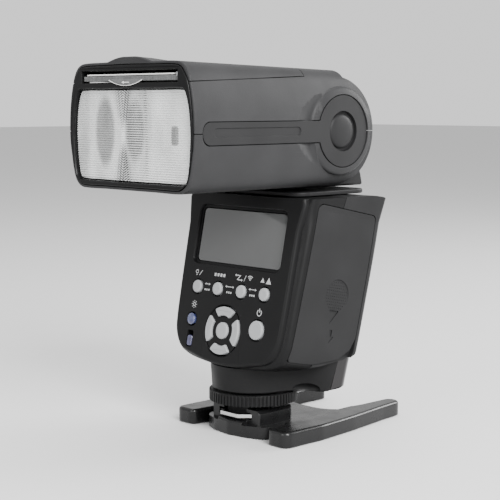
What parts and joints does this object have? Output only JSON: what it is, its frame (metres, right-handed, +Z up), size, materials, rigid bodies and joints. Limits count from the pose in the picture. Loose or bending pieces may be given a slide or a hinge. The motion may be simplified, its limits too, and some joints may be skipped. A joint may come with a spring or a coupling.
{
  "type": "speedlight flash",
  "caption": "Shoe-mount camera flash standing on a small forked stand, with a tilting and swivelling head, a leaning control case, a side battery door and a locking foot.",
  "frame": {"origin": "on the ground, on the vertical axis of the foot's lock ring, which is the middle of the bounding box's underside", "axes": "+Z up. -Y is the side that the control panel and the lens both face at rest. +X is the battery door's side."},
  "size_m": [0.075, 0.1274, 0.1504],
  "materials": {
    "stand_base": "fine matte",
    "tripod_insert": "satin",
    "shoe_plate": "polished",
    "foot_housing": "fine texture",
    "sensor_window": "dark translucent",
    "front_case": "fine texture",
    "rear_case": "fine texture",
    "display_window": "clear over dark grey",
    "display_module": "matte",
    "light_sensor_window": "translucent blue",
    "control_board": "solder mask",
    "main_board": "solder mask",
    "main_capacitor": "sleeve",
    "battery_tray": "matte",
    "battery_contacts": "nickel plated",
    "battery_1": "metallic sleeve",
    "battery_2": "metallic sleeve",
    "battery_3": "metallic sleeve",
    "battery_4": "metallic sleeve",
    "sync_socket": "matte",
    "contact_pin": "polished",
    "lock_ring": "ribbed, satin",
    "lock_pin": "satin",
    "door_hinge_strip": "satin",
    "battery_door": "fine texture",
    "port_cover": "matte",
    "turntable_plate": "fine texture",
    "swivel_nut": "satin",
    "neck_block": "fine texture",
    "hinge_pin_left": "turned",
    "hinge_pin_right": "turned",
    "head_lower_shell": "fine texture",
    "head_upper_shell": "fine texture",
    "head_top_cover": "fine texture",
    "front_bezel": "satin",
    "fresnel_lens": "ribbed clear acrylic",
    "side_trim_left": "satin",
    "side_trim_right": "satin",
    "hinge_plug_left": "satin",
    "hinge_plug_right": "satin",
    "panel_tray": "matte",
    "zoom_motor": "drawn can",
    "wide_panel": "ribbed clear acrylic",
    "bounce_card": "matte white",
    "reflector": "polished",
    "flash_tube": "clear",
    "zoom_screw": "turned",
    "function_button_1": "satin light grey",
    "function_button_2": "satin light grey",
    "function_button_3": "satin light grey",
    "function_button_4": "satin light grey",
    "power_button": "satin light grey",
    "pilot_button": "translucent blue",
    "set_button": "satin light grey",
    "pad_right": "satin light grey",
    "pad_up": "satin light grey",
    "pad_left": "satin light grey",
    "pad_down": "satin light grey"
  },
  "bodies": {
    "stand": {"stand_base": "stand_base", "tripod_insert": "tripod_insert"},
    "flash_body": {"shoe_plate": "shoe_plate", "foot_housing": "foot_housing", "sensor_window": "sensor_window", "front_case": "front_case", "rear_case": "rear_case", "display_window": "display_window", "display_module": "display_module", "light_sensor_window": "light_sensor_window", "control_board": "control_board", "main_board": "main_board", "main_capacitor": "main_capacitor", "battery_tray": "battery_tray", "battery_contacts": "battery_contacts", "battery_1": "battery_1", "battery_2": "battery_2", "battery_3": "battery_3", "battery_4": "battery_4", "sync_socket": "sync_socket"},
    "contact_pin": {"contact_pin": "contact_pin"},
    "lock_ring": {"lock_ring": "lock_ring"},
    "lock_pin": {"lock_pin": "lock_pin"},
    "door_carrier": {"door_hinge_strip": "door_hinge_strip"},
    "battery_door": {"battery_door": "battery_door"},
    "port_cover": {"port_cover": "port_cover"},
    "neck": {"turntable_plate": "turntable_plate", "swivel_nut": "swivel_nut", "neck_block": "neck_block", "hinge_pin_left": "hinge_pin_left", "hinge_pin_right": "hinge_pin_right"},
    "head": {"head_lower_shell": "head_lower_shell", "head_upper_shell": "head_upper_shell", "head_top_cover": "head_top_cover", "front_bezel": "front_bezel", "fresnel_lens": "fresnel_lens", "side_trim_left": "side_trim_left", "side_trim_right": "side_trim_right", "hinge_plug_left": "hinge_plug_left", "hinge_plug_right": "hinge_plug_right", "panel_tray": "panel_tray", "zoom_motor": "zoom_motor"},
    "wide_panel": {"wide_panel": "wide_panel"},
    "bounce_card": {"bounce_card": "bounce_card"},
    "zoom_carriage": {"reflector": "reflector", "flash_tube": "flash_tube"},
    "zoom_screw": {"zoom_screw": "zoom_screw"},
    "function_button_1": {"function_button_1": "function_button_1"},
    "function_button_2": {"function_button_2": "function_button_2"},
    "function_button_3": {"function_button_3": "function_button_3"},
    "function_button_4": {"function_button_4": "function_button_4"},
    "power_button": {"power_button": "power_button"},
    "pilot_button": {"pilot_button": "pilot_button"},
    "set_button": {"set_button": "set_button"},
    "pad_right": {"pad_right": "pad_right"},
    "pad_up": {"pad_up": "pad_up"},
    "pad_left": {"pad_left": "pad_left"},
    "pad_down": {"pad_down": "pad_down"}
  },
  "joints": [
    {"name": "shoe_slide", "type": "slide", "parent": "stand", "child": "flash_body", "axis": [0, -1, 0], "range_m": [0, 0.024]},
    {"name": "lock_ring_turn", "type": "hinge", "parent": "flash_body", "child": "lock_ring", "pos_m": [0, 0, 0.015], "axis": [0, 0, 1], "range_deg": [0, 60]},
    {"name": "lock_pin_drop", "type": "slide", "parent": "flash_body", "child": "lock_pin", "axis": [0, 0, -1], "range_m": [0, 0.0014]},
    {"name": "contact_pin_press", "type": "slide", "parent": "flash_body", "child": "contact_pin", "axis": [0, 0, 1], "range_m": [0, 0.0003], "stiffness_N_per_m": 200, "springref_m": -0.0005},
    {"name": "battery_door_slide", "type": "slide", "parent": "flash_body", "child": "door_carrier", "axis": [0, -0.2065, -0.9784], "range_m": [0, 0.005]},
    {"name": "battery_door_swing", "type": "hinge", "parent": "door_carrier", "child": "battery_door", "pos_m": [0.0349, 0.02893, 0.0583], "axis": [0, 0.2065, 0.9784], "range_deg": [0, 90]},
    {"name": "port_cover_swing", "type": "hinge", "parent": "flash_body", "child": "port_cover", "pos_m": [-0.035, 0.024, 0.05526], "axis": [0, -0.2065, -0.9784], "range_deg": [0, 110]},
    {"name": "head_swivel", "type": "hinge", "parent": "flash_body", "child": "neck", "pos_m": [0, 0.0175, 0.097], "axis": [0, 0, 1], "range_deg": [-270, 0]},
    {"name": "head_tilt", "type": "hinge", "parent": "neck", "child": "head", "pos_m": [0, 0.0155, 0.1225], "axis": [-1, 0, 0], "range_deg": [-7, 90]},
    {"name": "wide_panel_slide", "type": "slide", "parent": "head", "child": "wide_panel", "axis": [0, -1, 0], "range_m": [0, 0.04]},
    {"name": "bounce_card_slide", "type": "slide", "parent": "head", "child": "bounce_card", "axis": [0, -1, 0], "range_m": [0, 0.034]},
    {"name": "zoom_slide", "type": "slide", "parent": "head", "child": "zoom_carriage", "axis": [0, -1, 0], "range_m": [0, 0.018]},
    {"name": "zoom_screw_turn", "type": "hinge", "parent": "head", "child": "zoom_screw", "pos_m": [0.0274, -0.0076, 0.112], "axis": [0, -1, 0], "range_deg": [0, 540.1]},
    {"name": "function_button_1_press", "type": "slide", "parent": "flash_body", "child": "function_button_1", "axis": [0, 0.9784, -0.2065], "range_m": [0, 0.0006], "stiffness_N_per_m": 400, "springref_m": -0.0008},
    {"name": "function_button_2_press", "type": "slide", "parent": "flash_body", "child": "function_button_2", "axis": [0, 0.9784, -0.2065], "range_m": [0, 0.0006], "stiffness_N_per_m": 400, "springref_m": -0.0008},
    {"name": "function_button_3_press", "type": "slide", "parent": "flash_body", "child": "function_button_3", "axis": [0, 0.9784, -0.2065], "range_m": [0, 0.0006], "stiffness_N_per_m": 400, "springref_m": -0.0008},
    {"name": "function_button_4_press", "type": "slide", "parent": "flash_body", "child": "function_button_4", "axis": [0, 0.9784, -0.2065], "range_m": [0, 0.0006], "stiffness_N_per_m": 400, "springref_m": -0.0008},
    {"name": "power_button_press", "type": "slide", "parent": "flash_body", "child": "power_button", "axis": [0, 0.9784, -0.2065], "range_m": [0, 0.0006], "stiffness_N_per_m": 400, "springref_m": -0.0008},
    {"name": "pilot_button_press", "type": "slide", "parent": "flash_body", "child": "pilot_button", "axis": [0, 0.9784, -0.2065], "range_m": [0, 0.0006], "stiffness_N_per_m": 400, "springref_m": -0.0008},
    {"name": "set_button_press", "type": "slide", "parent": "flash_body", "child": "set_button", "axis": [0, 0.9784, -0.2065], "range_m": [0, 0.0006], "stiffness_N_per_m": 400, "springref_m": -0.0008},
    {"name": "pad_right_press", "type": "slide", "parent": "flash_body", "child": "pad_right", "axis": [0, 0.9784, -0.2065], "range_m": [0, 0.0006], "stiffness_N_per_m": 400, "springref_m": -0.0008},
    {"name": "pad_up_press", "type": "slide", "parent": "flash_body", "child": "pad_up", "axis": [0, 0.9784, -0.2065], "range_m": [0, 0.0006], "stiffness_N_per_m": 400, "springref_m": -0.0008},
    {"name": "pad_left_press", "type": "slide", "parent": "flash_body", "child": "pad_left", "axis": [0, 0.9784, -0.2065], "range_m": [0, 0.0006], "stiffness_N_per_m": 400, "springref_m": -0.0008},
    {"name": "pad_down_press", "type": "slide", "parent": "flash_body", "child": "pad_down", "axis": [0, 0.9784, -0.2065], "range_m": [0, 0.0006], "stiffness_N_per_m": 400, "springref_m": -0.0008}
  ],
  "couplings": [
    {"joint": "lock_pin_drop", "follows": "lock_ring_turn", "m_per_rad": 0.0013369},
    {"joint": "zoom_screw_turn", "follows": "zoom_slide", "rad_per_m": 523.6}
  ]
}
